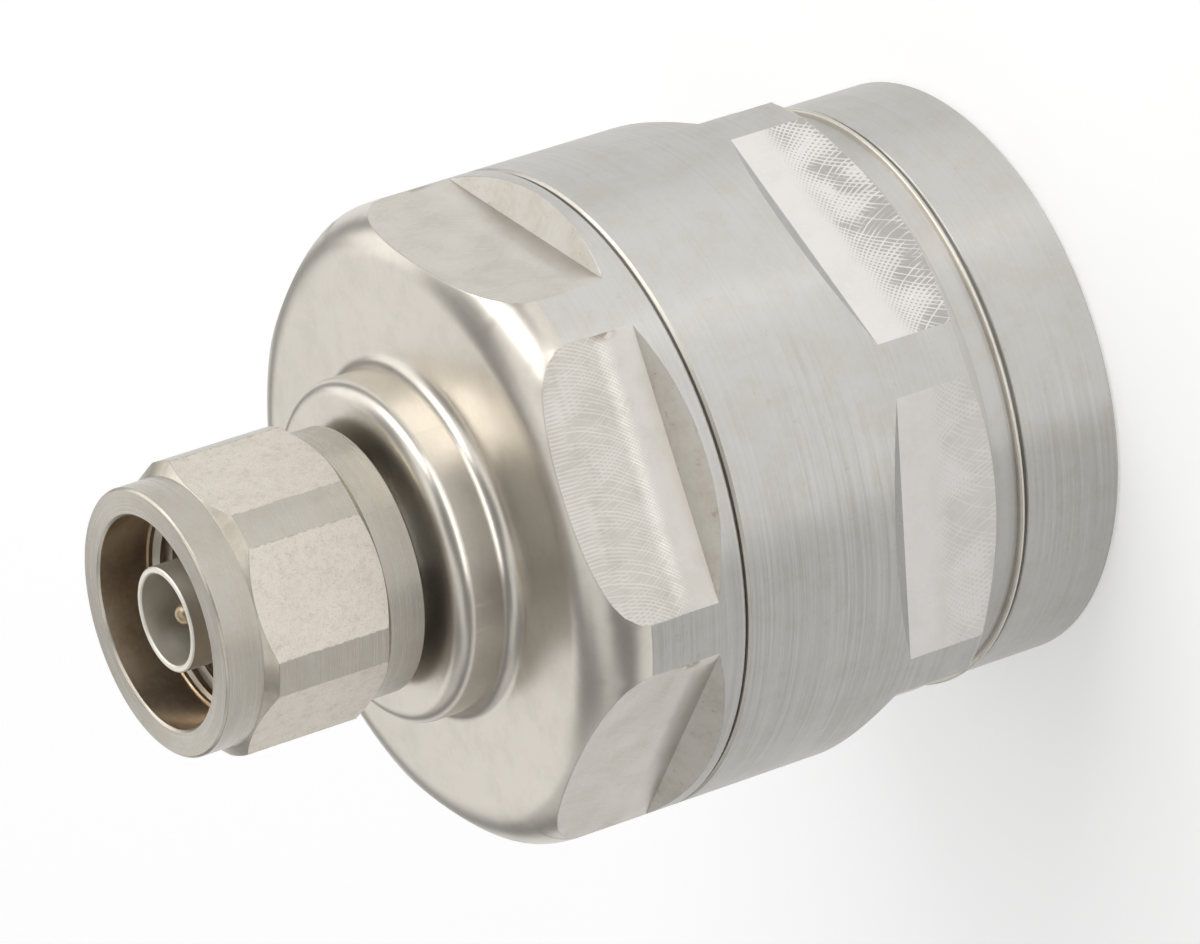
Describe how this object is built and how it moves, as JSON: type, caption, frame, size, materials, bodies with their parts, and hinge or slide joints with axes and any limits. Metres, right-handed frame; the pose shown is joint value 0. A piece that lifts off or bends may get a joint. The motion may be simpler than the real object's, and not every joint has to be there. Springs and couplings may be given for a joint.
{
  "type": "N-type coaxial cable plug",
  "caption": "Coaxial cable plug with a clamping rear nut, stepped front body and a free-turning hexagonal coupling nut around a pin contact.",
  "frame": {"origin": "centre of the rear face, where the cable enters", "axes": "+Z along the connector's axis, from the cable end towards the plug; a wrench flat of the rear nut faces +X"},
  "size_m": [0.0494, 0.0494, 0.0703],
  "materials": {
    "plated_body": "satin plated brass with fine turning lines",
    "plated_nut": "satin plated brass, lightly stained",
    "plated_contact": "bright plated brass",
    "spring_bronze": "satin spring bronze",
    "gold_plate": "gold plate",
    "wire_steel": "drawn steel wire",
    "white_plastic": "smooth fluoropolymer",
    "black_rubber": "matt rubber",
    "red_rubber": "matt silicone rubber"
  },
  "bodies": {
    "rear": {"rear_nut": "plated_body", "jacket_seal": "black_rubber", "slip_washer": "white_plastic", "collet_retaining_ring": "wire_steel"},
    "clamp": {"clamp_collet": "spring_bronze"},
    "front": {"front_body": "plated_body", "body_o_ring": "black_rubber", "flare_ring": "plated_contact", "rear_insulator": "white_plastic", "insulator_retainer": "plated_contact", "centre_conductor": "plated_contact", "contact_basket": "spring_bronze", "basket_guide": "white_plastic", "front_insulator": "white_plastic", "insulator_o_ring": "black_rubber", "centre_pin": "gold_plate", "outer_contact": "plated_contact", "interface_gasket": "red_rubber"},
    "retainer": {"coupling_snap_ring": "spring_bronze"},
    "coupling": {"coupling_nut": "plated_nut"}
  },
  "joints": [
    {"name": "clamp_turn", "type": "hinge", "parent": "rear", "child": "clamp", "pos_m": [0, 0, 0.0166], "axis": [0, 0, 1], "range_deg": [0, 2070]},
    {"name": "front_body_rise", "type": "slide", "parent": "clamp", "child": "front", "axis": [0, 0, 1], "range_m": [0, 0.00863]},
    {"name": "coupling_turn", "type": "hinge", "parent": "front", "child": "retainer", "pos_m": [0, 0, 0.0564], "axis": [0, 0, 1], "continuous": true},
    {"name": "coupling_slide", "type": "slide", "parent": "retainer", "child": "coupling", "axis": [0, 0, 1], "range_m": [-0.00095, 0]}
  ],
  "couplings": [
    {"joint": "front_body_rise", "follows": "clamp_turn", "m_per_rad": 0.00023873}
  ]
}
